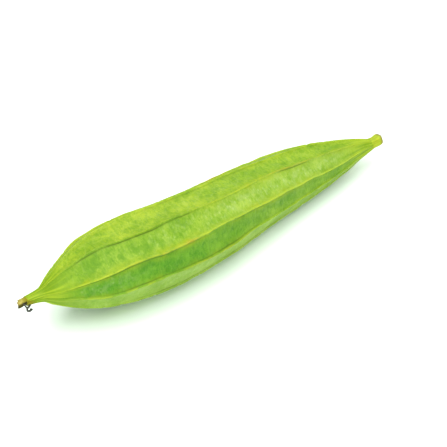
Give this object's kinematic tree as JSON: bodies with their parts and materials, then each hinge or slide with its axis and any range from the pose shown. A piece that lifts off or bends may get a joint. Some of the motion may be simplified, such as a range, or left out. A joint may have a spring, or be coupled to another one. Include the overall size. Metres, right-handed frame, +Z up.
{
  "type": "ridge gourd",
  "caption": "Whole ridge gourd lying on its side, long and tapered with lengthwise ridges, a narrow neck with a dried blossom scar, and a short stub of stalk.",
  "frame": {"origin": "middle of the bounding box, on the surface that the gourd lies on", "axes": "+X runs along the gourd towards its stalk end, -X towards its blossom end, +Y across it, +Z up"},
  "size_m": [0.2788, 0.0536, 0.0516],
  "materials": {
    "skin": "waxy green vegetable skin, satin, yellower along the ridges",
    "stalk": "pale yellow-green plant stalk, fibrous, matte",
    "dried_calyx": "dry brown plant tissue, matte",
    "dried_thread": "dry dark plant thread, matte"
  },
  "bodies": {
    "root": {"fruit": "skin", "stalk_stub": "stalk", "blossom_scar": "dried_calyx", "dried_thread": "dried_thread"}
  },
  "joints": []
}
